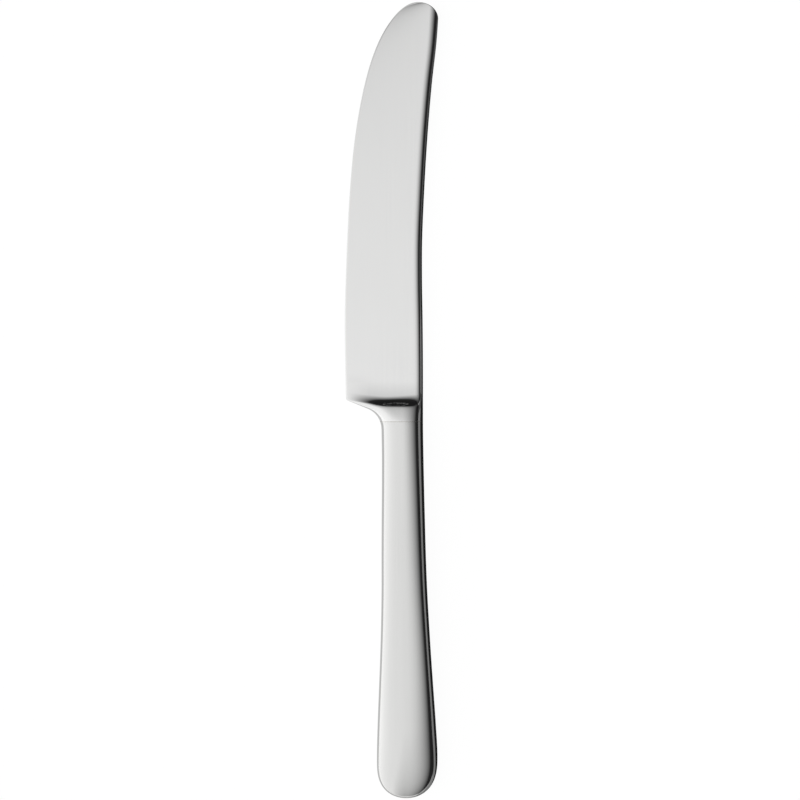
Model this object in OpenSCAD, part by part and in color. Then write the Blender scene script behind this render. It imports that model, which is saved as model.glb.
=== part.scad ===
// Table knife with a hollow handle, lying on its side.
// The tip points along +Y, the spine faces +X, the cutting edge faces -X and +Z is up.
// The origin is on the flat of the handle's underside, so the knife rests on the plane Z = 0.

/* [Blade] */
// Length from the tip to the heel corner
blade_l = 114.9; // [95:0.1:135]
// Width across the blade at its widest, near the heel
blade_w = 22.6; // [19:0.1:27]
// Thickness of the spine at the heel
spine_t = 2.7; // [2:0.1:3.6]
// Thickness of the spine at the tip
tip_t = 1.8; // [1.2:0.1:2.4]
// Width over which the blade's face falls away towards the spine
spine_round_w = 2.65; // [2:0.05:3.2]
// Thickness of the blade just behind the rounded cutting edge
edge_t = 0.6; // [0.4:0.1:0.9]
// Width over which the cutting edge is rounded
edge_round_w = 0.45; // [0.3:0.05:0.8]
// How far the spine stands out at the tip, past its line at the heel
spine_lift = 4.7; // [2:0.1:7]
// Length of the round that joins the tip to the spine
tip_round_l = 4.9; // [3:0.1:7]
// Radius of the heel corner
heel_r = 0.8; // [0.3:0.1:1]

/* [Bolster] */
// Length from the heel corner to the joint with the handle
bolster_l = 6.2; // [5:0.1:9]
// Distance from the heel corner back to the crest of the shoulder
crest_l = 1.6; // [1:0.1:2.5]
// Length of the hollow that rises to the crest
hollow_l = 2.45; // [2.2:0.05:3]
// Length over which the blade's face starts to rise, in front of the crest
lead_l = 7; // [5:0.5:9]
// Height that this start has gained at the crest
lead_h = 0.45; // [0.2:0.05:0.6]
// How far in from the neck's side the crest starts to bend towards the heel
crest_bend_w = 2; // [1:0.1:4.5]
// How far the crest lies below the top of the handle
crest_drop = 0.45; // [0.2:0.05:0.9]
// Height of the shoulder over the edge at the heel corner
heel_h = 0.45; // [0.4:0.05:0.9]
// Width over which the shoulder climbs from the heel corner to full height
climb_w = 15; // [11:0.5:18]
// Radius of the curve from the heel into the neck
choil_r = 6.4; // [4:0.1:8]
// Angle of the straight behind the heel, from square across the knife
choil_slant = 22.5; // [14:0.5:30]

/* [Handle] */
// Length from the joint to the end of the butt
handle_l = 108.9; // [95:0.1:125]
// Width of the neck
neck_w = 12; // [10:0.1:14]
// Width of the butt at its widest
butt_w = 17.5; // [15:0.1:22]
// Thickness of the handle
handle_t = 7.8; // [7:0.1:9.5]
// Length of the butt's round, seen from above
butt_round_l = 11.8; // [8:0.1:15]
// Length over which the thickness rounds off at the butt
end_round_l = 20; // [14:1:26]
// Sideways lean of the handle's middle line from neck to butt
lean = 1.44; // [0:0.02:3]
// How far the crown of the butt sits back towards the edge side
butt_drift = 0.27; // [0:0.01:0.5]
// Distance from the joint back to the point the knife rests on
rest_l = 52; // [40:1:60]

/* [Shells and joints] */
// Wall of the handle's two pressed shells
shell_t = 0.9; // [0.7:0.1:1.3]
// Thickness of the brazed seam between the shells
seam_t = 0.2; // [0.15:0.05:0.3]
// Thickness of the brazed joint between bolster and handle
joint_t = 0.25; // [0.15:0.05:0.4]
// Gap between the spigot and the inside of the handle's mouth
spigot_gap = 0.15; // [0.1:0.05:0.3]

/* [Tang and cement] */
// Length of the spigot that centres the handle on the bolster
spigot_l = 3.5; // [2:0.1:6]
// Length of the tang behind the spigot
tang_l = 48; // [30:1:60]
// Width of the tang at the spigot
tang_w = 6.5; // [4.5:0.1:7.5]
// Width of the tang at its end
tang_end_w = 4.5; // [3:0.1:5.5]
// Thickness of the tang
tang_t = 3.2; // [2.4:0.1:4]
// Radius along the corners of the tang
tang_r = 0.6; // [0.3:0.1:1]
// Length of cement past the end of the tang
cement_past_l = 10; // [4:1:20]
// Gap that the cement leaves all round as it sets and shrinks
cement_gap = 0.05; // [0.03:0.01:0.1]

/* [Hidden] */

// Quads across the top of a section, and rows along each stretch
ring_n = 22;
blade_rows = 30;
hollow_rows = 16;
bolster_rows = 14;
handle_rows = 22;
butt_rows = 12;
cement_rows = 6;

// Depth of the cutting edge below the spine's line at the heel, as shares of blade_w,
// at equal steps of the root of the share of blade_l from the tip
edge_shares = [0.062, 0.2205, 0.382, 0.543, 0.681, 0.793, 0.882, 0.94, 0.977, 0.999, 0.985];
// Stand of the spine, as shares of spine_lift, at equal steps of blade_l from the tip
spine_shares = [1, 0.834, 0.56, 0.345, 0.177, 0.047, -0.049, -0.057, -0.021, -0.002, 0];
// Growth from neck_w to butt_w, at equal steps from the joint to the butt's round
swell_shares = [0, 0, 0.037, 0.093, 0.148, 0.214, 0.336, 0.495, 0.683, 0.873, 1];
// Growth of the lean, at the same steps
lean_shares = [0, 0.09, 0.16, 0.22, 0.3, 0.43, 0.57, 0.69, 0.8, 0.91, 1];
// Places of the first row at the tip and the last at the butt
tip_row_share = 0.012;
butt_row_share = 0.9995;

// Power of the handle's section, at equal steps from the joint to the butt's round:
// 2 is an ellipse, and more is squarer. The choil's side at the crest has its own.
section_bows = [2.35, 2.6, 2.9, 3, 2.6];
crest_section_bow = 3;
// Powers that bow the face's fall to the spine, at the tip and at the heel
spine_bows = [2.1, 3.6];
// Powers that bow the spine's taper, the blade's face, the shoulder's climb, the slope behind
// the crest, the crest's bend, the hollow's flare, the butt's outline and the rows
taper_bow = 0.2;
grind_bow = 1.35;
climb_bow = 1.35;
crest_bow = 1.3;
bend_bow = 1.6;
flare_bow = 3.5;
butt_bow = 2.9;
row_bow = 1.5;
// Share of the spine's height that the face falls by
spine_fall_share = 0.93;
// Width of the rims' rounding at the crown, as a share of the full width
crown_round_share = 0.3;
// How much longer the hollow is at the spine, as a share of its length
hollow_flare_share = 0.4;
// The most that the hollow rises, as a share of its length
crest_rise_share = 0.9;
// How much the crest is rounded, as a share of that rise
crest_soft_share = 0.17;

// Depth that the underside of the lower shell is dressed flat
dress_h = 0.2;
// Step over which the slope of an outline is read
slope_step = 0.02;
// Overrun of a cut past the surface that it cuts
over = 1;

// Places along the knife, measured back from the tip
joint_back = blade_l + bolster_l;
crest_back = blade_l + crest_l;
hollow_back = crest_back - lead_l;
butt_round_back = joint_back + handle_l - butt_round_l;
end_round_back = joint_back + handle_l - end_round_l;
tip_y = joint_back + rest_l;
// Length behind the tip over which the rims' rounding widens
crown_l = 2 * tip_round_l;
mid_z = handle_t / 2;
half_h = (handle_t - seam_t) / 2;

// The spine's line at the heel, the heel corner and the curve behind it
spine_x = (neck_w - lean) / 2;
heel_x = spine_x - blade_w * edge_shares[len(edge_shares) - 1];
neck_x = -(neck_w + lean) / 2;
heel_arc_back = blade_l - heel_r * tan((90 - choil_slant) / 2);
heel_arc_end_back = heel_arc_back + heel_r * cos(choil_slant);
heel_mid_back = heel_arc_back + heel_r * sin((90 - choil_slant) / 2);
choil_arc_x = neck_x - choil_r * (1 - sin(choil_slant));
choil_arc_back = blade_l + (choil_arc_x - heel_x) * tan(choil_slant);
choil_end_back = choil_arc_back + choil_r * cos(choil_slant);
heel_section_back = heel_arc_back - 2 * slope_step;

// A smooth curve through equally spaced shares, level at its first or last point if asked
function curve(shares, at, level_first, level_last) =
    let (
        last = len(shares) - 1,
        i = min(last - 1, floor(at * last)),
        t = at * last - i,
        b = shares[i],
        c = shares[i + 1],
        a = i > 0 ? shares[i - 1] : level_first ? c : 2 * b - c,
        d = i < last - 1 ? shares[i + 2] : level_last ? b : 2 * c - b
    )
    b + t * (c - a + t * (2 * a - 5 * b + 4 * c - d + t * (3 * b - a - 3 * c + d))) / 2;

// A share kept between 0 and 1
function limit(share) = max(0, min(1, share));

// The quarter round that the blade's rims follow: 0 at the rim, 1 once past its width
function round_over(share) = let (rest = 1 - limit(share)) sqrt(1 - rest * rest);

// The fuller round of the handle's section: 0 at its side, 1 at its middle
function swell_over(share, bow) = pow(1 - pow(1 - limit(share), bow), 1 / bow);

// Middle and half width of the handle, before the butt's round closes it
function handle_at(back) = limit((back - joint_back) / (butt_round_back - joint_back));
function handle_mid(back) =
    let (round = limit((back - butt_round_back) / butt_round_l))
    lean * (curve(lean_shares, handle_at(back), true, true) - 1 / 2)
    - butt_drift * round * round * (3 - 2 * round);
function handle_half(back) =
    (neck_w + (butt_w - neck_w) * curve(swell_shares, handle_at(back), true, true)) / 2;

// How the butt closes, seen from above and from the side: 1 in front of its round, 0 at the end
function butt_closing(back) = sqrt(1 - pow(limit((back - butt_round_back) / butt_round_l), butt_bow));
function end_closing(back) = sqrt(1 - pow(limit((back - end_round_back) / end_round_l), 2));

// How far the curve behind the heel still stands out past the neck
function choil_flare(back) = choil_r - sqrt(choil_r * choil_r - pow(max(0, choil_end_back - back), 2));

// The two sides of the outline, from the tip back to the joint
function edge_side_x(back) =
    back < heel_arc_back ? spine_x - blade_w * curve(edge_shares, sqrt(back / blade_l), false, false)
    : back < heel_arc_end_back ? heel_x + heel_r - sqrt(heel_r * heel_r - pow(back - heel_arc_back, 2))
    : back < choil_arc_back ? heel_x + (back - blade_l) / tan(choil_slant)
    : neck_x - choil_flare(back);
function spine_line_x(back) =
    spine_x + spine_lift * curve(spine_shares, limit(back / blade_l), false, true);
function spine_side_x(back) =
    back > tip_round_l ? spine_line_x(back)
    : edge_side_x(0) + (spine_line_x(tip_round_l) - edge_side_x(0)) * round_over(back / tip_round_l);

// How much wider a rim looks straight across the knife than square to its outline
function edge_side_slant(back) = let (lo = max(0, back - slope_step), hi = lo + 2 * slope_step)
    norm([1, (edge_side_x(hi) - edge_side_x(lo)) / (hi - lo)]);
function spine_side_slant(back) = let (lo = max(0, back - slope_step), hi = lo + 2 * slope_step)
    norm([1, (spine_side_x(hi) - spine_side_x(lo)) / (hi - lo)]);

// Half height of the blade above the seam's plane at a point, the rims rounded
function blade_h(x, back) =
    let (
        thickness = tip_t + (spine_t - tip_t) * pow(limit(back / blade_l), taper_bow),
        fall_bow = spine_bows[0] + (spine_bows[1] - spine_bows[0]) * limit(back / blade_l),
        rim_w = edge_round_w * (crown_round_share + (1 - crown_round_share) * limit(back / crown_l)),
        spine_h = (thickness - seam_t) / 2,
        edge_h = (edge_t - seam_t) / 2,
        line_x = spine_line_x(back),
        face_w = max(edge_round_w, line_x - spine_round_w - edge_side_x(back)),
        risen = limit((x - edge_side_x(back)) / face_w),
        face_h = edge_h + (spine_h - edge_h) * (1 - pow(1 - risen, grind_bow)),
        fall_h = spine_h * spine_fall_share * pow(1 - limit((line_x - x) / spine_round_w), fall_bow),
        from_edge = (x - edge_side_x(back)) / edge_side_slant(back),
        from_crown = min(back, (spine_side_x(back) - x) / spine_side_slant(back)),
        from_tip = back < tip_round_l ? from_crown : edge_round_w
    )
    (face_h - fall_h) * round_over(min(from_edge, from_tip, line_x - x) / rim_w);

// Distance in from the choil: a straight behind the heel, then an arc into the neck
function from_choil(x, back) =
    let (out = x - neck_x + choil_r, ahead = max(0, choil_end_back - back))
    out * cos(choil_slant) < ahead * sin(choil_slant)
    ? (x - heel_x) * sin(choil_slant) - (back - blade_l) * cos(choil_slant)
    : norm([out, ahead]) - choil_r;

// Half height of the bolster: it climbs from the heel corner, and is full at the joint
function bolster_h(x, back, behind) =
    let (
        missing = pow(1 - limit((x - heel_x) / climb_w), climb_bow),
        low = crest_drop * pow(1 - behind, crest_bow),
        lost = missing * (half_h - crest_drop - heel_h) * (1 - behind * behind),
        shoulder_w = (neck_w + choil_flare(joint_back)) / 2,
        from_left = from_choil(x, back) * (1 - behind) + (x - edge_side_x(back)) * behind,
        bow = section_bows[0],
        left_bow = crest_section_bow + (bow - crest_section_bow) * behind,
        left = swell_over(from_left / shoulder_w, left_bow)
    )
    (half_h - low - lost) * left * swell_over((spine_x - x) / shoulder_w, bow);

// A row of the bolster starts on the outline behind the heel and bends across to the spine
function bent_back(x, edge_back, spine_back) =
    let (bend_x = neck_x + crest_bend_w, bend = limit((bend_x - x) / (bend_x - edge_side_x(edge_back))))
    spine_back - (spine_back - edge_back) * pow(bend, bend_bow);

// Half height from the end of the blade's face, through the hollow, to the joint
function root_h(x, back, behind) =
    let (
        crest_at = bent_back(x, heel_mid_back, crest_back),
        ahead = crest_at - back,
        face_back = min(back, heel_section_back),
        face_h = blade_h(max(x, edge_side_x(face_back)), face_back),
        lead = lead_h * limit((x - heel_x) / lead_l),
        flare = hollow_flare_share * pow(limit((x - heel_x) / (spine_x - heel_x)), flare_bow),
        length = hollow_l * (1 + flare),
        wanted = bolster_h(x, crest_at, 0) - face_h - lead,
        rise = max(slope_step, min(crest_rise_share * length, wanted)),
        hollow_r = (rise * rise + length * length) / (2 * rise),
        along = min(length, max(0, length - ahead)),
        arc = hollow_r - sqrt(hollow_r * hollow_r - along * along),
        past = max(0, -ahead) * length / (hollow_r - rise),
        front = face_h + lead * pow(1 - limit(ahead / lead_l), 2) + arc + past,
        rear = bolster_h(x, max(back, crest_at), behind),
        fade = (1 - limit(ahead / length)) * (1 - behind),
        soft = crest_soft_share * rise * fade * limit(min(front, rear) / heel_h)
    )
    (front + rear) / 2 - norm([(front - rear) / 2, soft]);

// A ring of points round the knife from a list of [x, distance back, half height]
function ring(tops) = concat(
    [for (p = tops) [p[0], tip_y - p[1], mid_z + seam_t / 2 + p[2]]],
    [for (i = [len(tops) - 1 : -1 : 0]) let (p = tops[i]) [p[0], tip_y - p[1], mid_z - seam_t / 2 - p[2]]]
);

// Steps across a section, crowded towards both rims
function across(low, high) = [for (i = [0 : ring_n]) low + (high - low) * (1 - cos(180 * i / ring_n)) / 2];

// A ring of the blade, square across the knife
function blade_ring(back) =
    ring([for (x = across(edge_side_x(back), spine_side_x(back))) [x, back, blade_h(x, back)]]);

// A ring of the hollow or the bolster, bent along the crest
function root_ring(edge_back, spine_back) =
    let (behind = limit((spine_back - crest_back) / (joint_back - crest_back)))
    ring([for (x = across(edge_side_x(edge_back), spine_line_x(spine_back)))
        let (back = bent_back(x, edge_back, spine_back))
        [x, back, root_h(x, back, behind)]]);
function between(low, high, share) = low + (high - low) * share;
function hollow_ring(share) =
    root_ring(between(hollow_back, heel_mid_back, share), between(hollow_back, crest_back, share));
function bolster_ring(share) =
    root_ring(between(heel_mid_back, joint_back, share), between(crest_back, joint_back, share));

// Where a row of the handle lies once it is drawn in by an inset
function drawn_in(back, inset) = joint_back + (back - joint_back) * (handle_l - inset) / handle_l;

// A handle section drawn in by an inset: its two sides and its half height
function handle_section(back, inset) =
    let (half = (handle_half(back) - inset) * butt_closing(back), mid = handle_mid(back))
    [mid - half - choil_flare(back), mid + half, (half_h - inset) * end_closing(back)];

// The points across the top of that section: [x, distance back, half height]
function handle_tops(back, inset) =
    let (
        s = handle_section(back, inset),
        half = (s[1] - s[0]) / 2,
        bow = curve(section_bows, handle_at(back), true, true)
    )
    [for (x = across(s[0], s[1]))
        [x, drawn_in(back, inset), s[2] * swell_over(1 - abs(x - s[0] - half) / half, bow)]];

// A tang section: a bar with rounded corners, and its half width at a place
function tang_tops(back, half, height) =
    [for (x = across(handle_mid(joint_back) - half, handle_mid(joint_back) + half))
        let (side = half - abs(x - handle_mid(joint_back)))
        [x, back, (height - tang_r - seam_t / 2) + tang_r * round_over(side / tang_r)]];
function tang_half(back) =
    (tang_w + (tang_end_w - tang_w) * limit((back - joint_back - spigot_l) / tang_l)) / 2;

// Rows of the handle's shells, crowded towards the mouth and the end of the butt
shell_rows = concat(
    [for (i = [0 : handle_rows - 1])
        let (start = joint_back + joint_t)
        start + (butt_round_back - start) * (1 - cos(90 * i / handle_rows))],
    [for (i = [0 : butt_rows])
        butt_round_back + butt_round_l * sin(90 * i / butt_rows) * butt_row_share]
);

// Skins a chain of rings into one closed solid
module skin(rings) {
    n = len(rings[0]);
    last = len(rings) - 1;
    polyhedron(
        points = [for (r = rings) for (p = r) p],
        faces = concat(
            [[for (i = [0 : n - 1]) i]],
            [for (r = [0 : last - 1]) for (i = [0 : n - 1])
                let (a = r * n + i, b = r * n + (i + 1) % n)
                each [[a, a + n, b], [b, a + n, b + n]]],
            [[for (i = [n - 1 : -1 : 0]) last * n + i]]
        )
    );
}

// One half of the handle, with its wall, lying rim down on the seam's plane
module half_shell(extra_h) {
    n = ring_n + 1;
    last = len(shell_rows) - 1;
    inner = (last + 1) * n;
    outer_pts = [for (back = shell_rows) for (p = handle_tops(back, 0))
        [p[0], tip_y - p[1], p[2] * (half_h + extra_h) / half_h]];
    inner_pts = [for (back = shell_rows) for (p = handle_tops(back, shell_t))
        [p[0], tip_y - (back == shell_rows[0] ? back : p[1]), p[2]]];
    polyhedron(
        points = concat(outer_pts, inner_pts),
        faces = concat(
            [for (r = [0 : last - 1]) for (i = [0 : ring_n - 1])
                let (a = r * n + i, b = a + 1)
                each [
                    [a, a + n, b], [b, a + n, b + n],
                    [inner + a, inner + b, inner + a + n], [inner + b, inner + b + n, inner + a + n]
                ]],
            [for (r = [0 : last - 1])
                let (a = r * n, b = a + n - 1)
                each [
                    [a, inner + a, a + n], [inner + a, inner + a + n, a + n],
                    [b, b + n, inner + b], [inner + b, b + n, inner + b + n]
                ]],
            [for (i = [0 : ring_n - 1])
                each [[i, i + 1, inner + i], [i + 1, inner + i + 1, inner + i]]],
            [[for (i = [ring_n : -1 : 0]) last * n + i]],
            [[for (i = [0 : ring_n]) inner + last * n + i]],
            [[last * n, inner + last * n, inner + last * n + ring_n, last * n + ring_n]]
        )
    );
}

// The blade, the bolster, the spigot and the tang are one forging
module blade() {
    hollow_share = sqrt(hollow_back / blade_l);
    spigot = [for (p = handle_tops(joint_back, shell_t + spigot_gap)) [p[0], joint_back, p[2]]];
    spigot_end_back = joint_back + spigot_l;
    tang_back = spigot_end_back + tang_l;
    color("silver")
    skin(concat(
        [for (i = [0 : blade_rows])
            let (root_share = tip_row_share + (hollow_share - tip_row_share) * i / blade_rows)
            blade_ring(blade_l * root_share * root_share)],
        [for (i = [1 : hollow_rows]) hollow_ring(1 - pow(1 - i / hollow_rows, row_bow))],
        [for (i = [1 : bolster_rows]) bolster_ring(pow(i / bolster_rows, row_bow))],
        [ring(spigot)],
        [ring([for (p = spigot) [p[0], spigot_end_back, p[2]]])],
        [for (back = [spigot_end_back, tang_back]) ring(tang_tops(back, tang_half(back), tang_t / 2))]
    ));
}

module upper_handle_shell() {
    color("gainsboro")
    translate([0, 0, mid_z + seam_t / 2])
    half_shell(0);
}

module lower_handle_shell() {
    color("lightgray")
    difference() {
        translate([0, 0, mid_z - seam_t / 2])
        mirror([0, 0, 1])
        half_shell(dress_h);
        translate([-butt_w, tip_y - joint_back - handle_l - over, -over])
        cube([butt_w * 2, handle_l + over * 2, over]);
    }
}

// The thin silver line between the rims of the shells
module shell_seam_braze() {
    outer = [for (back = shell_rows) handle_section(back, 0)];
    inner = [for (back = shell_rows) handle_section(back, shell_t)];
    last = len(shell_rows) - 1;
    function place(back, inset) = tip_y - (back == shell_rows[0] ? back : drawn_in(back, inset));
    color("khaki")
    translate([0, 0, mid_z - seam_t / 2])
    linear_extrude(height = seam_t)
    polygon(concat(
        [for (i = [0 : last]) [outer[i][0], place(shell_rows[i], 0)]],
        [for (i = [last : -1 : 0]) [outer[i][1], place(shell_rows[i], 0)]],
        [for (i = [0 : last]) [inner[i][1], place(shell_rows[i], shell_t)]],
        [for (i = [last : -1 : 0]) [inner[i][0], place(shell_rows[i], shell_t)]]
    ));
}

// The brazed ring between the bolster's back face and the handle's mouth
module bolster_braze() {
    function outline(inset) = let (tops = handle_tops(joint_back, inset)) concat(
        [for (p = tops) [p[0], p[2] + seam_t / 2]],
        [for (i = [ring_n : -1 : 0]) [tops[i][0], -tops[i][2] - seam_t / 2]]
    );
    color("khaki")
    translate([0, tip_y - joint_back, mid_z])
    rotate([90, 0, 0])
    linear_extrude(height = joint_t)
    difference() {
        polygon(outline(0));
        polygon(outline(shell_t));
    }
}

// Resin cement fills the handle round the tang and a little way past it
module tang_cement() {
    start_back = joint_back + spigot_l + cement_gap;
    hole_back = joint_back + spigot_l + tang_l + cement_gap;
    end_back = hole_back + cement_past_l;
    color("tan")
    skin(concat(
        [for (back = [hole_back, start_back])
            ring(tang_tops(back, tang_half(back) + cement_gap, tang_t / 2 + cement_gap))],
        [for (i = [0 : cement_rows])
            let (back = start_back + (end_back - start_back) * i / cement_rows)
            ring([for (p = handle_tops(back, shell_t + cement_gap)) [p[0], back, p[2]]])]
    ));
}

blade();
upper_handle_shell();
lower_handle_shell();
shell_seam_braze();
bolster_braze();
tang_cement();
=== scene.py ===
# %% [markdown]
# # A table knife with a hollow handle
# The knife is stainless steel from end to end. Its blade, bolster and tang are one forging,
# and its handle is two pressed shells with silver braze between them.
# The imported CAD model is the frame: it gives every piece its place, and here each piece that
# shows is modelled again with more rows, softer rims and a real finish.

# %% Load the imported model
import math

import bmesh
import bpy
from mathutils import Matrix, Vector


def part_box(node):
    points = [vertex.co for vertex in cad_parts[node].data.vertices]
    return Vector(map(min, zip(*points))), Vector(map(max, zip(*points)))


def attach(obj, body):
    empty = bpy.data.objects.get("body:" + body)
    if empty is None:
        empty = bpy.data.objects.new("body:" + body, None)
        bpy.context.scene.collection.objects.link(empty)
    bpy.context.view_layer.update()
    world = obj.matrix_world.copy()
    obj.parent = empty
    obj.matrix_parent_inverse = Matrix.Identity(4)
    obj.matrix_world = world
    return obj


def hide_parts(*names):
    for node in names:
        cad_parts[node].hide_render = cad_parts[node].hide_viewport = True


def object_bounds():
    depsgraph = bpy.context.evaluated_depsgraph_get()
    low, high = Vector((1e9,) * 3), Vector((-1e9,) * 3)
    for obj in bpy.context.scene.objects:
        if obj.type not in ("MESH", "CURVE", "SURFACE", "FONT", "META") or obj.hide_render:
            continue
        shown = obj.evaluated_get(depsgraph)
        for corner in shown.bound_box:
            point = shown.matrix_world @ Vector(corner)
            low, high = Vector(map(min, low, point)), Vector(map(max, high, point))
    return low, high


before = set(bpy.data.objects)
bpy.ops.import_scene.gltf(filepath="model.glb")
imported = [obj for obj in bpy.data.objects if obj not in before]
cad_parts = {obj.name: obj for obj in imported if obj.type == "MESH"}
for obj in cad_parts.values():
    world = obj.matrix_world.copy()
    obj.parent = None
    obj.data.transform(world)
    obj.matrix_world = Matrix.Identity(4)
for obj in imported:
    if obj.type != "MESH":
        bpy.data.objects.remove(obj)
cad_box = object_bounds()
MM = 0.001
scene = bpy.context.scene


def in_mm(corner):
    """A corner as a list of millimetres, for printing."""
    return [round(value / MM, 2) for value in corner]


print("CAD nodes:", ", ".join(sorted(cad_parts)))
print("CAD box in mm:", in_mm(cad_box[0]), in_mm(cad_box[1]))

# %% [markdown]
# ## The outline
# Seen from above, a knife is two curves: the cutting edge with the choil behind it, and the
# spine. They could be drawn as Bezier curves, but a forging also needs its thickness at every
# point. So the outline is kept as functions of one value, the distance back from the tip.

# %% Sizes of the blade and the bolster
# A name ends in _l for a length along the knife, _w for a width across it, _t for a thickness,
# _h for a height and _r for a radius
blade_l = 114.9 * MM
blade_w = 22.6 * MM
spine_t = 2.7 * MM
tip_t = 1.8 * MM
spine_round_w = 2.65 * MM
edge_t = 0.6 * MM
edge_round_w = 0.45 * MM
spine_lift = 4.7 * MM
tip_round_l = 4.9 * MM
heel_r = 0.8 * MM
bolster_l = 6.2 * MM
crest_l = 1.6 * MM
crest_drop = 0.45 * MM
crest_bend_w = 2 * MM
hollow_l = 2.45 * MM
lead_l = 7 * MM
lead_h = 0.45 * MM
heel_h = 0.45 * MM
climb_w = 15 * MM
choil_r = 6.4 * MM
choil_slant = math.radians(22.5)
print("blade and bolster in mm:", in_mm([blade_l, bolster_l]))

# %% Sizes of the handle and what is in it
handle_l = 108.9 * MM
neck_w = 12 * MM
butt_w = 17.5 * MM
butt_round_l = 11.8 * MM
end_round_l = 20 * MM
lean = 1.44 * MM
butt_drift = 0.27 * MM
shell_t = 0.9 * MM
dress_h = 0.2 * MM
spigot_gap = 0.15 * MM
spigot_l = 3.5 * MM
tang_l = 48 * MM
tang_w = 6.5 * MM
tang_end_w = 4.5 * MM
tang_t = 3.2 * MM
tang_r = 0.6 * MM
seam_low, seam_high = (corner.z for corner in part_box("shell_seam_braze"))
joint_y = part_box("bolster_braze")[1].y
joint_t = joint_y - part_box("bolster_braze")[0].y
handle_t = cad_box[1].z
print("seam of braze in mm:", in_mm([seam_low, seam_high]), "joint at", in_mm([joint_y]))

# %% Shares and powers of the curves
# Shares are read at equal steps along the knife, and a power (bow) says how full a curve is
edge_shares = [0.062, 0.2205, 0.382, 0.543, 0.681, 0.793, 0.882, 0.94, 0.977, 0.999, 0.985]
spine_shares = [1, 0.834, 0.56, 0.345, 0.177, 0.047, -0.049, -0.057, -0.021, -0.002, 0]
swell_shares = [0, 0, 0.037, 0.093, 0.148, 0.214, 0.336, 0.495, 0.683, 0.873, 1]
lean_shares = [0, 0.09, 0.16, 0.22, 0.3, 0.43, 0.57, 0.69, 0.8, 0.91, 1]
section_bows = [2.35, 2.6, 2.9, 3.0, 2.6]
grind_bow = 1.35
spine_bows = [2.1, 3.6]
spine_fall_share = 0.93
crown_round_share = 0.3
crest_rise_share = 0.9
crest_soft_share = 0.17
crest_section_bow = 3
taper_bow = 0.2
hollow_flare_share = 0.4
flare_bow = 3.5
climb_bow = 1.35
crest_bow = 1.3
bend_bow = 1.6
butt_bow = 2.9
print("widest share of the blade:", max(edge_shares))

# %% Places along the knife, measured back from the tip
joint_back = blade_l + bolster_l
crest_back = blade_l + crest_l
hollow_back = crest_back - lead_l
butt_round_back = joint_back + handle_l - butt_round_l
end_round_back = joint_back + handle_l - end_round_l
crown_l = 2 * tip_round_l
tip_y = joint_y + joint_back
half_h = handle_t - seam_high
spine_x = (neck_w - lean) / 2
heel_x = spine_x - blade_w * edge_shares[-1]
neck_x = -(neck_w + lean) / 2
heel_turn = math.pi / 2 - choil_slant
heel_arc_back = blade_l - heel_r * math.tan(heel_turn / 2)
heel_arc_end_back = heel_arc_back + heel_r * math.cos(choil_slant)
heel_mid_back = heel_arc_back + heel_r * math.sin(heel_turn / 2)
choil_arc_x = neck_x - choil_r * (1 - math.sin(choil_slant))
choil_arc_back = blade_l + (choil_arc_x - heel_x) * math.tan(choil_slant)
choil_end_back = choil_arc_back + choil_r * math.cos(choil_slant)
print("heel corner in mm:", in_mm([heel_x, tip_y - blade_l]), "tip:", in_mm([tip_y]))


# %% Small curve helpers
def curve(shares, at, level_first, level_last):
    """A smooth curve through equally spaced shares, level at an end if asked."""
    last = len(shares) - 1
    i = min(last - 1, int(at * last))
    t = at * last - i
    b, c = shares[i], shares[i + 1]
    a = shares[i - 1] if i > 0 else (c if level_first else 2 * b - c)
    d = shares[i + 2] if i < last - 1 else (b if level_last else 2 * c - b)
    return b + t * (c - a + t * (2 * a - 5 * b + 4 * c - d + t * (3 * b - a - 3 * c + d))) / 2


def limit(share):
    """A share kept between 0 and 1."""
    return max(0.0, min(1.0, share))


def round_over(share):
    """The quarter round of the blade's rims: 0 at the rim, 1 once past its width."""
    return math.sqrt(1 - (1 - limit(share)) ** 2)


def swell_over(share, bow):
    """The fuller round of the handle's section: 0 at its side, 1 at its middle."""
    return (1 - (1 - limit(share)) ** bow) ** (1 / bow)


print("half way in, a rim has risen by", round(round_over(0.5), 3))


# %% The outline's two sides
def choil_flare(back):
    """How far the curve behind the heel still stands out past the neck."""
    return choil_r - math.sqrt(choil_r**2 - max(0.0, choil_end_back - back) ** 2)


def edge_side_x(back):
    """The cutting edge, the heel corner and the choil, down to the joint."""
    if back < heel_arc_back:
        return spine_x - blade_w * curve(edge_shares, math.sqrt(back / blade_l), False, False)
    if back < heel_arc_end_back:
        return heel_x + heel_r - math.sqrt(heel_r**2 - (back - heel_arc_back) ** 2)
    if back < choil_arc_back:
        return heel_x + (back - blade_l) / math.tan(choil_slant)
    return neck_x - choil_flare(back)


def spine_line_x(back):
    """The spine, before the tip's round closes it."""
    return spine_x + spine_lift * curve(spine_shares, limit(back / blade_l), False, True)


def spine_side_x(back):
    """The spine with the tip's round."""
    if back > tip_round_l:
        return spine_line_x(back)
    tip_x = edge_side_x(0)
    return tip_x + (spine_line_x(tip_round_l) - tip_x) * round_over(back / tip_round_l)


# Step over which the slope of an outline is read
slope_step = 0.02 * MM


def slant(side, back):
    """How much wider a rim looks straight across the knife than square to its outline."""
    low = max(0.0, back - slope_step)
    return math.hypot(1, (side(low + 2 * slope_step) - side(low)) / (2 * slope_step))


for share in (0.1, 0.5, 0.9):
    place = blade_l * share
    print("blade width in mm at", share, in_mm([spine_side_x(place) - edge_side_x(place)]))


# %% [markdown]
# ## The handle's middle line and width
# The handle leans a little to one side and swells towards the butt. Two tables of shares
# carry that, and two closing curves bring the width and the thickness to nothing at the end.

# %% The handle's functions
def handle_at(back):
    """Share of the way from the joint to the butt's round."""
    return limit((back - joint_back) / (butt_round_back - joint_back))


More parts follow.
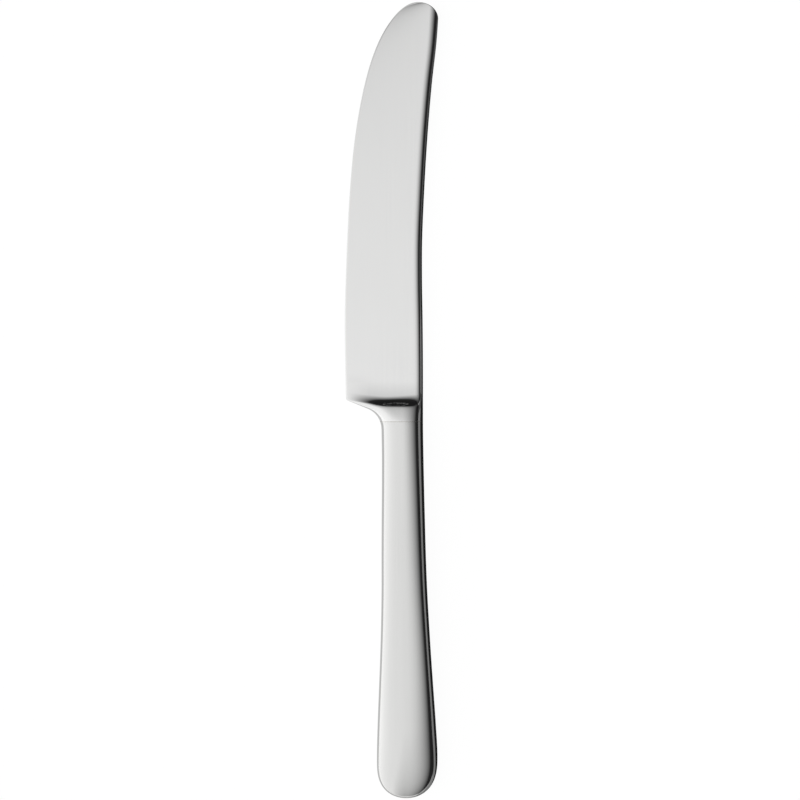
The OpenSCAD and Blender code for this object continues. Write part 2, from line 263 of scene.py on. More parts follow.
def handle_mid(back):
    """The handle's middle line, with the drift of the butt's crown."""
    turn = limit((back - butt_round_back) / butt_round_l)
    drift = butt_drift * turn**2 * (3 - 2 * turn)
    return lean * (curve(lean_shares, handle_at(back), True, True) - 0.5) - drift


def handle_half(back):
    """The handle's half width before the butt closes it."""
    return (neck_w + (butt_w - neck_w) * curve(swell_shares, handle_at(back), True, True)) / 2


def handle_row(back, inset, steps):
    """Points across the top of a section drawn in by an inset: (x, place back, half height)."""
    closing = math.sqrt(1 - limit((back - butt_round_back) / butt_round_l) ** butt_bow)
    half = (handle_half(back) - inset) * closing
    height = (half_h - inset) * math.sqrt(1 - limit((back - end_round_back) / end_round_l) ** 2)
    left = handle_mid(back) - half - choil_flare(back)
    middle = (left + handle_mid(back) + half) / 2
    width = middle - left
    place = joint_back + (back - joint_back) * (handle_l - inset) / handle_l
    bow = curve(section_bows, handle_at(back), True, True)
    sides = [math.cos(math.pi * i / steps) for i in range(steps + 1)]
    return [(middle - width * side, place, height * swell_over(1 - abs(side), bow)) for side in sides]


print("neck and butt in mm:", in_mm([2 * handle_half(joint_back), 2 * handle_half(butt_round_back)]))


# %% [markdown]
# ## The blade's thickness
# A blade is ground from a thick spine to a thin edge, and both rims are rounded. The height
# above the middle plane is again a function, of the place across and the distance back.

# %% The blade's half height
def blade_h(x, back):
    """Half height of the blade at a point, both rims rounded."""
    seam_half = (seam_high - seam_low) / 2
    thickness = tip_t + (spine_t - tip_t) * limit(back / blade_l) ** taper_bow
    fall_bow = spine_bows[0] + (spine_bows[1] - spine_bows[0]) * limit(back / blade_l)
    rim_w = edge_round_w * (crown_round_share + (1 - crown_round_share) * limit(back / crown_l))
    spine_h = thickness / 2 - seam_half
    edge_h = edge_t / 2 - seam_half
    line_x, edge_x = spine_line_x(back), edge_side_x(back)
    risen = limit((x - edge_x) / max(edge_round_w, line_x - spine_round_w - edge_x))
    face_h = edge_h + (spine_h - edge_h) * (1 - (1 - risen) ** grind_bow)
    rim = min((x - edge_x) / slant(edge_side_x, back), line_x - x)
    if back < tip_round_l:
        from_crown = min(back, (spine_side_x(back) - x) / slant(spine_side_x, back))
        rim = min(rim, from_crown)
    fall_h = spine_h * spine_fall_share * (1 - limit((line_x - x) / spine_round_w)) ** fall_bow
    return (face_h - fall_h) * round_over(rim / rim_w)


print("blade's half height in mm, at the middle:", in_mm([blade_h(0, blade_l / 2)]))


# %% [markdown]
# ## The bolster
# Behind the blade a hollow rises to a crest, and behind the crest the bolster runs into the
# handle. The crest is not a knife edge: a polishing wheel has rounded it, so the slope goes
# from steep to level over about a millimetre. The rows of the mesh bend, so that one row of
# points lies along the crest and the reflections break exactly there.

# %% The bolster behind the crest
shoulder_w = (neck_w + choil_flare(joint_back)) / 2


def from_choil(x, back):
    """Distance in from the choil: a straight behind the heel, then an arc into the neck."""
    out, ahead = x - neck_x + choil_r, max(0.0, choil_end_back - back)
    if out * math.cos(choil_slant) < ahead * math.sin(choil_slant):
        return (x - heel_x) * math.sin(choil_slant) - (back - blade_l) * math.cos(choil_slant)
    return math.hypot(out, ahead) - choil_r


def bolster_h(x, back, behind):
    """Half height of the bolster: it climbs from the heel, and is full at the joint."""
    missing = (1 - limit((x - heel_x) / climb_w)) ** climb_bow
    low = crest_drop * (1 - behind) ** crest_bow
    lost = missing * (half_h - crest_drop - heel_h) * (1 - behind**2)
    from_left = from_choil(x, back) * (1 - behind) + (x - edge_side_x(back)) * behind
    left_bow = crest_section_bow + (section_bows[0] - crest_section_bow) * behind
    left = swell_over(from_left / shoulder_w, left_bow)
    return (half_h - low - lost) * left * swell_over((spine_x - x) / shoulder_w, section_bows[0])


print("bolster's half height in mm, crest and joint:",
      in_mm([bolster_h(0, crest_back, 0), bolster_h(0, joint_back, 1)]))


# %% The bend of the rows
def bent_back(x, edge_back, spine_back):
    """A row starts on the outline behind the heel and bends across to the spine."""
    bend_x = neck_x + crest_bend_w
    bend = limit((bend_x - x) / (bend_x - edge_side_x(edge_back)))
    return spine_back - (spine_back - edge_back) * bend**bend_bow


# %% The hollow in front of the crest
heel_section_back = heel_arc_back - 2 * slope_step


def root_h(x, back, behind):
    """Half height from the end of the blade's face, through the hollow, to the joint."""
    crest_at = bent_back(x, heel_mid_back, crest_back)
    ahead = crest_at - back
    face_back = min(back, heel_section_back)
    face_h = blade_h(max(x, edge_side_x(face_back)), face_back)
    lead = lead_h * limit((x - heel_x) / lead_l)
    flare = hollow_flare_share * limit((x - heel_x) / (spine_x - heel_x)) ** flare_bow
    length = hollow_l * (1 + flare)
    rise = bolster_h(x, crest_at, 0) - face_h - lead
    rise = max(slope_step, min(crest_rise_share * length, rise))
    hollow_r = (rise**2 + length**2) / (2 * rise)
    along = min(length, max(0.0, length - ahead))
    arc = hollow_r - math.sqrt(hollow_r**2 - along**2)
    front = face_h + lead * (1 - limit(ahead / lead_l)) ** 2 + arc
    front += max(0.0, -ahead) * length / (hollow_r - rise)
    rear = bolster_h(x, max(back, crest_at), behind)
    fade = (1 - limit(ahead / length)) * (1 - behind)
    soft = crest_soft_share * rise * fade * limit(min(front, rear) / heel_h)
    return (front + rear) / 2 - math.hypot((front - rear) / 2, soft)


print("height of the crest in mm:", in_mm([root_h(0, crest_back, 0)]))

# %% [markdown]
# ## Lofting by extrusion
# A filled circle is added, its points are moved onto the first section, and it is extruded
# once for each further section. The end face travels along, so the solid is always closed.
# A whole number on each point remembers its column, and the extruded copy keeps it.

# %% The loft helper
# Quads across the top of a section, the angle past which an edge stays sharp, and how close
# two points lie before they are merged
ring_n = 72
crease = math.radians(30)
merge_gap = 0.001 * MM


def deselect_all():
    """Leaves edit mode and deselects every object."""
    if bpy.context.object and bpy.context.object.mode == "EDIT":
        bpy.ops.object.mode_set(mode="OBJECT")
    bpy.ops.object.select_all(action="DESELECT")


def place_ring(piece, ring):
    """Moves the selected points of the mesh in edit mode onto a ring of places."""
    shape = bmesh.from_edit_mesh(piece.data)
    column = shape.verts.layers.int["column"]
    for point in (v for v in shape.verts if v.select):
        point.co = ring[point[column]]


def loft(name, rings):
    """Extrudes a filled circle from ring to ring into one closed solid."""
    deselect_all()
    bpy.ops.mesh.primitive_circle_add(vertices=len(rings[0]), radius=neck_w / 2, fill_type="NGON")
    piece = bpy.context.object
    piece.name = piece.data.name = name
    bpy.ops.object.mode_set(mode="EDIT")
    shape = bmesh.from_edit_mesh(piece.data)
    column = shape.verts.layers.int.new("column")
    for i, point in enumerate(shape.verts):
        point[column] = i
    place_ring(piece, rings[0])
    for ring in rings[1:]:
        bpy.ops.mesh.extrude_region_move()
        place_ring(piece, ring)
    bpy.ops.mesh.select_all(action="SELECT")
    bpy.ops.mesh.remove_doubles(threshold=merge_gap)
    bpy.ops.mesh.normals_make_consistent(inside=False)
    bpy.ops.object.mode_set(mode="OBJECT")
    bpy.ops.object.shade_smooth_by_angle(angle=crease)
    print(name, "has", len(piece.data.vertices), "points and", len(piece.data.polygons), "faces")
    return piece


def both_sides(tops):
    """A closed ring from points across the top, (x, place back, half height)."""
    upper = [(x, tip_y - back, seam_high + height) for x, back, height in tops]
    lower = [(x, tip_y - back, seam_low - height) for x, back, height in reversed(tops)]
    return upper + lower


def across(low, high):
    """Places across a section, crowded towards both rims."""
    return [low + (high - low) * (1 - math.cos(math.pi * i / ring_n)) / 2 for i in range(ring_n + 1)]


# %% [markdown]
# ## The forging
# Blade, bolster, spigot and tang come out of one bar, so they are one loft with about 200
# sections. The tip needs sections that crowd together, and so does the crest.

# %% The forging's sections
# Rows along each stretch, the place of the first one at the tip, and how rows crowd at the crest
blade_rows = 96
hollow_rows = 60
bolster_rows = 40
tip_row_share = 0.012
row_bow = 1.5


def blade_ring(back):
    """A ring of the blade, square across the knife."""
    row = across(edge_side_x(back), spine_side_x(back))
    return both_sides([(x, back, blade_h(x, back)) for x in row])


def root_ring(edge_back, spine_back):
    """A ring of the hollow or the bolster, bent along the crest."""
    behind = limit((spine_back - crest_back) / (joint_back - crest_back))
    tops = []
    for x in across(edge_side_x(edge_back), spine_line_x(spine_back)):
        back = bent_back(x, edge_back, spine_back)
        tops.append((x, back, root_h(x, back, behind)))
    return both_sides(tops)


hollow_share = math.sqrt(hollow_back / blade_l)
share_step = (hollow_share - tip_row_share) / blade_rows
blade_shares = [tip_row_share + share_step * i for i in range(blade_rows + 1)]
forging_rings = [blade_ring(blade_l * share**2) for share in blade_shares]
for i in range(1, hollow_rows + 1):
    share = 1 - (1 - i / hollow_rows) ** row_bow
    forging_rings.append(root_ring(hollow_back + (heel_mid_back - hollow_back) * share,
                                   hollow_back + (crest_back - hollow_back) * share))
for i in range(1, bolster_rows + 1):
    share = (i / bolster_rows) ** row_bow
    forging_rings.append(root_ring(heel_mid_back + (joint_back - heel_mid_back) * share,
                                   crest_back + (joint_back - crest_back) * share))
print("sections from the tip to the joint:", len(forging_rings))

# %% The spigot and the tang, and the finished forging
mouth = handle_row(joint_back, shell_t + spigot_gap, ring_n)
spigot = [(x, joint_back, height) for x, back, height in mouth]
spigot_end_back = joint_back + spigot_l
tang_x = handle_mid(joint_back)


def tang_ring(back, width):
    """A bar with rounded corners."""
    tops = []
    for x in across(tang_x - width / 2, tang_x + width / 2):
        side = width / 2 - abs(x - tang_x)
        flat = tang_t / 2 - tang_r - (seam_high - seam_low) / 2
        tops.append((x, back, flat + tang_r * round_over(side / tang_r)))
    return both_sides(tops)


forging_rings.append(both_sides(spigot))
forging_rings.append(both_sides([(x, spigot_end_back, height) for x, back, height in spigot]))
forging_rings.append(tang_ring(spigot_end_back, tang_w))
forging_rings.append(tang_ring(spigot_end_back + tang_l, tang_end_w))
blade = loft("blade_forging", forging_rings)
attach(blade, "root")
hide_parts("blade")

# %% [markdown]
# ## The handle's shells
# Each shell is a deep-drawn half with a wall of 0.9 mm. Its section is a C: the outer round
# from rim to rim, then the inner round back again. At the butt both rounds shrink to a point,
# and merging doubled points closes the end.

# %% The shells' sections
handle_rows = 90
butt_rows = 40
shell_start = joint_back + joint_t
straight_l = butt_round_back - shell_start
straight_backs = [shell_start + straight_l * i / handle_rows for i in range(handle_rows)]
round_shares = [math.sin(math.pi / 2 * i / butt_rows) for i in range(butt_rows + 1)]
round_backs = [butt_round_back + butt_round_l * share for share in round_shares]
shell_backs = straight_backs + round_backs
print("sections of a shell:", len(shell_backs))


def shell_ring(back, rim_z, side, extra_h):
    """The C of one shell: side is 1 for the upper shell and -1 for the lower one."""
    fuller = (half_h + extra_h) / half_h
    outer = [(x, tip_y - place, rim_z + side * height * fuller)
             for x, place, height in handle_row(back, 0, ring_n)]
    inner = [(x, tip_y - (back if back == shell_start else place), rim_z + side * height)
             for x, place, height in reversed(handle_row(back, shell_t, ring_n))]
    return outer + inner


upper = loft("upper_shell", [shell_ring(back, seam_high, 1, 0) for back in shell_backs])
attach(upper, "root")
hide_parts("upper_handle_shell")

# %% The lower shell, dressed flat where the knife rests
# How near the plane of the cut a point counts as lying in it
cut_gap = 0.0001 * MM
lower = loft("lower_shell", [shell_ring(back, seam_low, -1, dress_h) for back in shell_backs])
bpy.ops.object.mode_set(mode="EDIT")
bpy.ops.mesh.select_all(action="SELECT")
bpy.ops.mesh.bisect(plane_co=(0, 0, 0), plane_no=(0, 0, -1), use_fill=True, clear_outer=True,
                    threshold=cut_gap)
bpy.ops.object.mode_set(mode="OBJECT")
bpy.ops.object.shade_smooth_by_angle(angle=crease)
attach(lower, "root")
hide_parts("lower_handle_shell")
print("lower shell after dressing:", len(lower.data.polygons), "faces")

# %% [markdown]
# ## The braze
# Silver braze fills the seam between the shells and the joint behind the bolster. Polished
# flush, it shows only as a thin line. The seam is an outline laid flat and extruded by its
# thickness, and the joint is a ring extruded the same way.

# %% The seam between the shells
def rim_points(inset):
    """The rim of a shell, down one side and back up the other."""
    rows = [handle_row(back, inset, 2) for back in shell_backs]
    places = [back if back == shell_start else row[0][1] for back, row in zip(shell_backs, rows)]
    left = [(row[0][0], tip_y - place) for row, place in zip(rows, places)]
    right = [(row[2][0], tip_y - place) for row, place in zip(rows, places)]
    return left + right[-2::-1]


def band(name, outer, inner, lift, step):
    """A flat band between two lines of points, extruded by one step."""
    deselect_all()
    bpy.ops.mesh.primitive_circle_add(vertices=len(outer) + len(inner), fill_type="NGON")
    piece = bpy.context.object
    piece.name = piece.data.name = name
    for point, place in zip(piece.data.vertices, outer + inner[::-1]):
        point.co = lift(place)
    bpy.ops.object.mode_set(mode="EDIT")
    bpy.ops.mesh.select_all(action="SELECT")
    bpy.ops.mesh.extrude_region_move(TRANSFORM_OT_translate={"value": step})
    bpy.ops.mesh.select_all(action="SELECT")
    bpy.ops.mesh.normals_make_consistent(inside=False)
    bpy.ops.object.mode_set(mode="OBJECT")
    print(name, "has", len(piece.data.polygons), "faces")
    return piece


seam = band("seam_braze", rim_points(0), rim_points(shell_t),
            lambda place: (place[0], place[1], seam_low), (0, 0, seam_high - seam_low))
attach(seam, "root")
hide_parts("shell_seam_braze")

# %% The joint behind the bolster
def joint_ring(y, inset):
    """The handle's section at its mouth, drawn in by an inset."""
    return [(x, y, z) for x, _, z in both_sides(handle_row(joint_back, inset, ring_n))]


joint_rings = [joint_ring(joint_y, 0), joint_ring(joint_y - joint_t, 0),
               joint_ring(joint_y - joint_t, shell_t), joint_ring(joint_y, shell_t)]
deselect_all()
bpy.ops.mesh.primitive_circle_add(vertices=len(joint_rings[0]), fill_type="NOTHING")
joint = bpy.context.object
joint.name = joint.data.name = "joint_braze"
bpy.ops.object.mode_set(mode="EDIT")
shape = bmesh.from_edit_mesh(joint.data)
column = shape.verts.layers.int.new("column")
for i, point in enumerate(shape.verts):
    point[column] = i
place_ring(joint, joint_rings[0])
for ring in joint_rings[1:] + joint_rings[:1]:
    bpy.ops.mesh.extrude_region_move()
    place_ring(joint, ring)
bpy.ops.mesh.select_all(action="SELECT")
bpy.ops.mesh.remove_doubles(threshold=merge_gap)
bpy.ops.mesh.normals_make_consistent(inside=False)
bpy.ops.object.mode_set(mode="OBJECT")
bpy.ops.object.shade_smooth_by_angle(angle=crease)
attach(joint, "root")
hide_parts("bolster_braze")
print("joint braze has", len(joint.data.polygons), "faces")


# %% [markdown]
# ## Materials
# Every finish here is metal except the cement. Polished steel has almost no colour of its
# own: it shows the room. What makes it real is roughness, and how roughness and tiny bumps
# follow the polishing wheel along the knife.

# %% Helpers for colours and nodes
def linear(code):
    """An sRGB hex colour as linear RGBA."""
    parts = [int(code[i:i + 2], 16) / 255 for i in (1, 3, 5)]
    return [c / 12.92 if c <= 0.04045 else ((c + 0.055) / 1.055) ** 2.4 for c in parts] + [1]


def add(tree, kind, inputs=None, links=None, **settings):
    """Adds a node: settings are its properties, inputs its values and links what feeds them."""
    node = tree.nodes.new(kind)
    for key, value in settings.items():
        setattr(node, key, value)
    for key, value in (inputs or {}).items():
        node.inputs[key].default_value = value
    for key, socket in (links or {}).items():
        tree.links.new(socket, node.inputs[key])
    return node


def new_material(name):
    """An empty node material and its tree."""
    material = bpy.data.materials.new(name)
    material.use_nodes = True
    material.node_tree.nodes.clear()
    return material, material.node_tree


print("mid grey #808080 in linear light:", round(linear("#808080")[0], 3))


# %% [markdown]
# ### Satin stainless steel
# The blade is hardened chromium steel, glazed on a fine wheel, and the handle is softer 18/10
# steel, mopped to a slightly closer polish. Both have fine lines that run along the knife.
# Real lines are 0.02 to 0.05 mm apart, too fine to show at this size, so they are drawn about
# 0.3 mm apart and very shallow. Broad cloudy changes of roughness are what handling leaves, and
# small duller marks, a little askew, are wear from plates and drawers.

# %% Sizes of the lines, the clouds and the marks
line_w, line_l = 0.3 * MM, 40 * MM
cloud_w = 14 * MM
mark_w, mark_l = 1.2 * MM, 9 * MM
mark_turn = math.radians(14)
line_roughness, mark_roughness = 0.02, 0.03
print("lines across the neck:", round(neck_w / line_w))


# %% A function for polished steel
def steel(name, colour, line_colour, roughness, line_depth, handling):
    """Steel polished along the knife, with lines, clouds of handling and small marks."""
    material, tree = new_material(name)
    place = add(tree, "ShaderNodeTexCoord").outputs["Object"]
    along = add(tree, "ShaderNodeMapping", {"Scale": (1 / line_w, 1 / line_l, 1 / line_w)},
                {"Vector": place})
    lines = add(tree, "ShaderNodeTexNoise", {"Scale": 1, "Detail": 3, "Roughness": 0.6},
                {"Vector": along.outputs[0]})
    clouds = add(tree, "ShaderNodeTexNoise", {"Scale": 1 / cloud_w, "Detail": 4, "Roughness": 0.55},
                 {"Vector": place})
    marks_at = add(tree, "ShaderNodeMapping", {"Scale": (1 / mark_w, 1 / mark_l, 1 / mark_w),
                                               "Rotation": (0, 0, mark_turn)}, {"Vector": place})
    marks = add(tree, "ShaderNodeTexNoise", {"Scale": 1, "Detail": 2, "Roughness": 0.5},
                {"Vector": marks_at.outputs[0]})
    worn = add(tree, "ShaderNodeMapRange",
               {"From Min": 0.62, "From Max": 0.74, "To Min": 0, "To Max": 1},
               {"Value": marks.outputs["Fac"]})
    rough_lines = add(tree, "ShaderNodeMapRange",
                      {"From Min": 0.25, "From Max": 0.75, "To Min": roughness - line_roughness,
                       "To Max": roughness + line_roughness}, {"Value": lines.outputs["Fac"]})
    rough_clouds = add(tree, "ShaderNodeMapRange",
                       {"From Min": 0.3, "From Max": 0.7, "To Min": -handling, "To Max": handling},
                       {"Value": clouds.outputs["Fac"]})
    rough = add(tree, "ShaderNodeMath", {}, {0: rough_lines.outputs[0], 1: rough_clouds.outputs[0]})
    rough_worn = add(tree, "ShaderNodeMath", {1: mark_roughness},
                     {0: worn.outputs[0], 2: rough.outputs[0]}, operation="MULTIPLY_ADD")
    tint = add(tree, "ShaderNodeMix", {"A": linear(colour), "B": linear(line_colour)},
               {"Factor": lines.outputs["Fac"]}, data_type="RGBA")
    bump = add(tree, "ShaderNodeBump", {"Strength": 1, "Distance": line_depth},
               {"Height": lines.outputs["Fac"]})
    shader = add(tree, "ShaderNodeBsdfPrincipled", {"Metallic": 1},
                 {"Base Color": tint.outputs["Result"], "Roughness": rough_worn.outputs[0],
                  "Normal": bump.outputs[0]})
    add(tree, "ShaderNodeOutputMaterial", {}, {"Surface": shader.outputs[0]})
    return material


# %% The blade's and the handle's steel
handling = 0.02
# Glazed blade steel: a cool light grey, soft in its reflections, lines barely felt
blade_steel = steel("glazed_chromium_steel", "#DBDBDA", "#D7D7D7", 0.1, 0.0003 * MM, handling)
blade.data.materials.append(blade_steel)
# Mopped handle steel: a shade darker and closer polished, clouded by hands
handle_steel = steel("mopped_18_10_steel", "#D2D2D1", "#CECECD", 0.085, 0.0002 * MM, handling)
for shell in (upper, lower):
    shell.data.materials.append(handle_steel)
print("steels:", blade_steel.name, handle_steel.name)

# %% [markdown]
# ### Silver braze and resin cement
# Braze is a little yellower and softer than steel, so it takes a duller polish and catches
# tiny pits. The cement never shows, but it is finished too: sand in a grey-brown resin.

# %% The braze
# Dressed silver braze: a pale warm metal with fine pits from the flux
pit_w, pit_depth = 0.4 * MM, 0.002 * MM
braze, tree = new_material("dressed_silver_braze")
place = add(tree, "ShaderNodeTexCoord").outputs["Object"]
pits = add(tree, "ShaderNodeTexNoise", {"Scale": 1 / pit_w, "Detail": 3}, {"Vector": place})
dull = add(tree, "ShaderNodeMapRange", {"From Min": 0.3, "From Max": 0.7, "To Min": 0.2, "To Max": 0.34},
           {"Value": pits.outputs["Fac"]})
warm = add(tree, "ShaderNodeMix", {"A": linear("#CECDCA"), "B": linear("#C2C0BC")},
           {"Factor": pits.outputs["Fac"]}, data_type="RGBA")
dents = add(tree, "ShaderNodeBump", {"Strength": 1, "Distance": pit_depth},
            {"Height": pits.outputs["Fac"]})
shader = add(tree, "ShaderNodeBsdfPrincipled", {"Metallic": 1},
             {"Base Color": warm.outputs["Result"], "Roughness": dull.outputs[0],
              "Normal": dents.outputs[0]})
add(tree, "ShaderNodeOutputMaterial", {}, {"Surface": shader.outputs[0]})
for piece in (seam, joint):
    piece.data.materials.append(braze)
print("braze on:", seam.name, joint.name)

# %% The cement
# Sand-filled resin cement: matt grey-brown with grains of 0.5 mm, in batches that differ a little
grain_w, grain_depth, mottle_w = 0.5 * MM, 0.1 * MM, 6 * MM
cement, tree = new_material("sand_filled_resin_cement")
place = add(tree, "ShaderNodeTexCoord").outputs["Object"]
grains = add(tree, "ShaderNodeTexVoronoi", {"Scale": 1 / grain_w}, {"Vector": place})
mottle = add(tree, "ShaderNodeTexNoise", {"Scale": 1 / mottle_w, "Detail": 4}, {"Vector": place})
sandy = add(tree, "ShaderNodeMix", {"A": linear("#BDB19C"), "B": linear("#9C917D")},
            {"Factor": mottle.outputs["Fac"]}, data_type="RGBA")
matt = add(tree, "ShaderNodeMapRange", {"To Min": 0.7, "To Max": 0.95},
           {"Value": grains.outputs["Distance"]})
grit = add(tree, "ShaderNodeBump", {"Strength": 0.6, "Distance": grain_depth},
           {"Height": grains.outputs["Distance"]})
shader = add(tree, "ShaderNodeBsdfPrincipled", {"Metallic": 0, "IOR": 1.5},
             {"Base Color": sandy.outputs["Result"], "Roughness": matt.outputs[0],
              "Normal": grit.outputs[0]})
add(tree, "ShaderNodeOutputMaterial", {}, {"Surface": shader.outputs[0]})
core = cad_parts["tang_cement"]
core.data.materials.clear()
core.data.materials.append(cement)
print("cement on", core.name)

# %% [markdown]
# ## The studio
# Polished metal is lit with surfaces, not lamps. The tent is the world: it is white above,
# brighter low on the left, and fades to black low on the right and low beyond the tip, which
# draws the dark lines along the spine and in the hollow of the bolster. Two soft panes of
# light low at its right-hand corners keep the blade silver when it is seen from low down.
# Cards on the floor and round it then colour the thin lines along the rims. They show only in
# reflections, so no camera sees them.

# %% Levels of the light tent
# A direction is a unit vector, and a share says how far it leans one way. Each pane has its
# middle pane_x to the right, as far towards the tip or the butt, and pane_z up. Cosines from
# there, pane_edge and pane_inner, say where its light begins and where it is full
fade_share, darkest = 0.76, 0.02
left_level, left_most, left_bow = 1.1, 1.4, 1.8
butt_dark = 0.4
pane_level, pane_x, pane_z = 0.5, 0.67, 0.33
pane_edge, pane_inner = 0.93, 0.97
pane_top_low, pane_top_high = 0.36, 0.4
dark_up = math.degrees(math.acos(fade_share))
print("the tent is darkest from", round(dark_up), "degrees up and lower")

# %% The light tent
tent = bpy.data.worlds.new("light_tent")
tent.use_nodes = True
scene.world = tent
tree = tent.node_tree
tree.nodes.clear()
toward = add(tree, "ShaderNodeTexCoord").outputs["Generated"]
direction = add(tree, "ShaderNodeSeparateXYZ", {}, {0: toward})
leftness = add(tree, "ShaderNodeMapRange", {"From Min": -1, "From Max": 0, "To Min": 1, "To Max": 0},
               {"Value": direction.outputs["X"]})
low_left = add(tree, "ShaderNodeMath", {1: left_bow}, {0: leftness.outputs[0]}, operation="POWER")
left_light = add(tree, "ShaderNodeMapRange", {"To Min": left_level, "To Max": left_most},
                 {"Value": low_left.outputs[0]})
behind_butt = add(tree, "ShaderNodeMapRange",
                  {"From Min": -1, "From Max": 0, "To Min": butt_dark, "To Max": 0},
                  {"Value": direction.outputs["Y"]})
darker = add(tree, "ShaderNodeMath", {}, {0: direction.outputs["X"], 1: behind_butt.outputs[0]})
level = left_light.outputs[0]
for lean_to in (darker.outputs[0], direction.outputs["Y"]):
    fade = add(tree, "ShaderNodeMapRange",
               {"From Min": 0, "From Max": fade_share, "To Min": 1, "To Max": darkest},
               {"Value": lean_to})
    level = add(tree, "ShaderNodeMath", {}, {0: level, 1: fade.outputs[0]},
                operation="MULTIPLY").outputs[0]

# %% The two panes
pane_top = add(tree, "ShaderNodeMapRange", {"From Min": pane_top_low, "From Max": pane_top_high,
                                            "To Min": pane_level, "To Max": 0},
               {"Value": direction.outputs["Z"]})
for side in (-1, 1):
    near_pane = add(tree, "ShaderNodeVectorMath", {1: (pane_x, pane_x * side, pane_z)}, {0: toward},
                    operation="DOT_PRODUCT")
    pane = add(tree, "ShaderNodeMapRange",
               {"From Min": pane_edge, "From Max": pane_inner, "To Min": 0},
               {"Value": near_pane.outputs["Value"], "To Max": pane_top.outputs[0]})
    level = add(tree, "ShaderNodeMath", {}, {0: level, 1: pane.outputs[0]},
                operation="MAXIMUM").outputs[0]
glow = add(tree, "ShaderNodeBackground", {"Color": linear("#FFFFFF")}, {"Strength": level})
add(tree, "ShaderNodeOutputWorld", {}, {"Surface": glow.outputs[0]})
print("tent nodes:", len(tree.nodes))

# %% The pale sweep under and behind the knife
sweep_r, sweep_h = 4.0, 1.0
deselect_all()
bpy.ops.mesh.primitive_circle_add(vertices=96, radius=sweep_r, fill_type="NGON")
sweep = bpy.context.object
sweep.name = "floor_sweep"
bpy.ops.object.mode_set(mode="EDIT")
bpy.ops.mesh.select_mode(type="EDGE")
bpy.ops.mesh.select_all(action="SELECT")
bpy.ops.mesh.select_mode(type="VERT")
bpy.ops.mesh.extrude_edges_move(TRANSFORM_OT_translate={"value": (0, 0, sweep_h)})
bpy.ops.object.mode_set(mode="OBJECT")

# %% The paper of the sweep
# White paper: rays that see it find it nearly white all over, with a tenth of its shading kept
white_share, white_level = 0.9, 1.06
paper, tree = new_material("white_paper_sweep")
rays = add(tree, "ShaderNodeLightPath")
seen = rays.outputs["Is Camera Ray"]
for ray in ("Is Glossy Ray", "Is Transmission Ray"):
    seen = add(tree, "ShaderNodeMath", {}, {0: seen, 1: rays.outputs[ray]},
               operation="MAXIMUM").outputs[0]
whiten = add(tree, "ShaderNodeMath", {1: white_share}, {0: seen}, operation="MULTIPLY")
matt = add(tree, "ShaderNodeBsdfDiffuse", {"Color": linear("#F4F4F4")})
white = add(tree, "ShaderNodeEmission", {"Color": linear("#FFFFFF"), "Strength": white_level})
mixed = add(tree, "ShaderNodeMixShader", {},
            {0: whiten.outputs[0], 1: matt.outputs[0], 2: white.outputs[0]})
add(tree, "ShaderNodeOutputMaterial", {}, {"Surface": mixed.outputs[0]})
sweep.data.materials.append(paper)
print("sweep is", 2 * sweep_r, "m wide and", sweep_h, "m high")

# %% The reflection cards
def card(name, corners, grey):
    """A plain card that only reflections show: corners go round it, grey is its brightness."""
    deselect_all()
    bpy.ops.mesh.primitive_plane_add(size=1)
    piece = bpy.context.object
    piece.name = name
    for point, place in zip(piece.data.vertices, (corners[0], corners[1], corners[3], corners[2])):
        point.co = place
    material, tree = new_material(name + "_board")
    face = add(tree, "ShaderNodeEmission", {"Strength": grey})
    add(tree, "ShaderNodeOutputMaterial", {}, {"Surface": face.outputs[0]})
    piece.data.materials.append(material)
    piece.visible_camera = piece.visible_diffuse = piece.visible_shadow = False
    piece.visible_transmission = False


def floor_card(name, x0, x1, y0, y1, grey):
    """A card that lies on the sweep."""
    card(name, [(x0, y0, lift), (x1, y0, lift), (x1, y1, lift), (x0, y1, lift)], grey)


def wall_card(name, start, end, top, grey):
    """A card that stands on the sweep from one place to another."""
    card(name, [(*start, lift), (*end, lift), (*end, top), (*start, top)], grey)


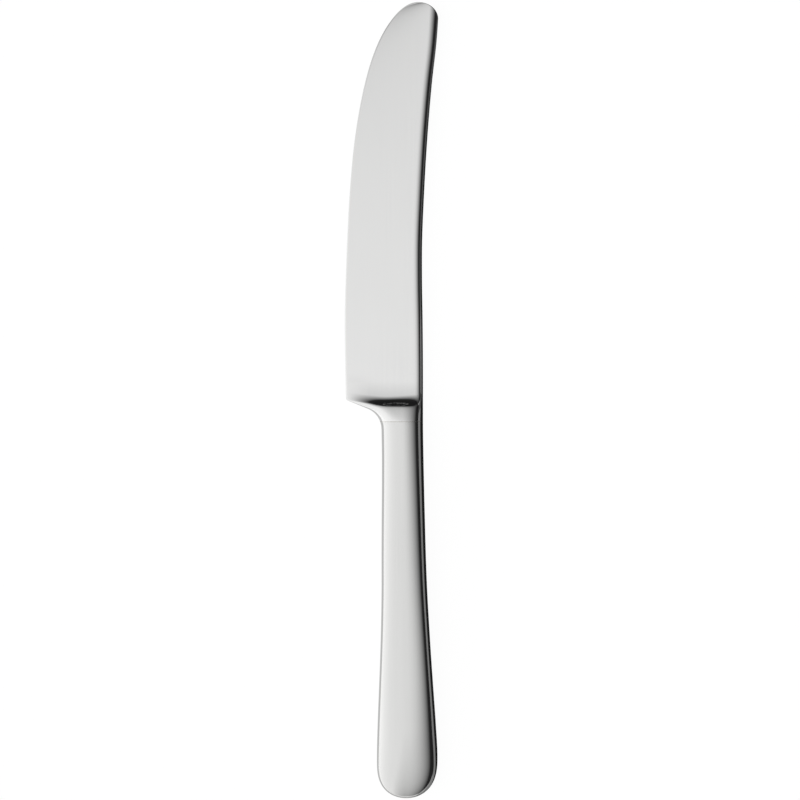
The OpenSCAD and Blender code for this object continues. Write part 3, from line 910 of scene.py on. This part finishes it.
# %% Places and greys of the cards
# The cards lie just over the sweep. They start under the knife's rims, and the steps out from
# there are near and far on the right and left on the other side. Along the knife the steps are
# before, butt, split, crown (just short of the tip), beyond and past
lift = 0.05 * MM
under, near, left, far = 3.5 * MM, 100 * MM, 36 * MM, 400 * MM
butt_y, crown_y = cad_box[0].y, cad_box[1].y - 2 * MM
before_y, split_y, beyond_y, past_y = -1.5, cad_box[1].y - 78 * MM, 0.6, 1
spine_side = 8 * MM
right_wall_h, left_wall_h, tip_wall_h = 155 * MM, 120 * MM, 300 * MM
black, dark, middle, dim, soft, bright = 0.015, 0.1, 0.28, 0.6, 0.74, 1.42

# %% Cards on the right, which the spine and the handle's right side show
floor_card("black_floor_card", under, near, butt_y, crown_y, black)
floor_card("black_tip_card", spine_side, near, crown_y, past_y, black)
floor_card("grey_butt_card", under, near, before_y, butt_y, middle)
floor_card("grey_floor_card", near, far, before_y, split_y, middle)
wall_card("grey_wall_card", (far, before_y), (far, split_y), right_wall_h, middle)
floor_card("dark_floor_card", near, far, split_y, past_y, dark)
wall_card("dark_wall_card", (far, split_y), (far, past_y), right_wall_h, dark)

# %% Cards on the left and at the butt
floor_card("soft_floor_card", -left, -under, butt_y, crown_y, soft)
floor_card("bright_floor_card", -far, -left, butt_y, crown_y, bright)
wall_card("bright_wall_card", (-far, before_y), (-far, beyond_y), left_wall_h, bright)
floor_card("dim_butt_card", -left, under, before_y, butt_y, dim)

# %% Cards beyond the tip
# The small one stands so close and so low that little but the crown of the tip shows it
crown_card_h = 6.2 * MM
floor_card("soft_tip_card", -far, spine_side, crown_y, beyond_y, soft)
wall_card("black_tip_wall_card", (-250 * MM, beyond_y), (far, beyond_y), tip_wall_h, black)
wall_card("soft_crown_card", (-10 * MM, cad_box[1].y - 5 * MM), (5 * MM, cad_box[1].y + 2 * MM),
          crown_card_h, soft)

# %% [markdown]
# ## The camera
# The photograph looks straight down from far away, so the knife shows no perspective. A long
# lens 1.5 m up gives that, and its field covers 231.1 mm, the knife's 230 mm over 796 of the
# picture's 800 pixels.

# %% The camera
sensor_w = 36
field = 231.1 * MM
distance = 1.5
middle_x = -1.36 * MM
middle_y = 58.13 * MM
camera_data = bpy.data.cameras.new("camera")
camera_data.sensor_width = sensor_w
camera_data.lens = sensor_w * distance / field
camera = bpy.data.objects.new("camera", camera_data)
camera.location = (middle_x, middle_y, distance + (seam_low + seam_high) / 2)
scene.collection.objects.link(camera)
scene.camera = camera
scene.view_settings.view_transform = "Standard"
print("lens in mm:", round(camera_data.lens, 1))
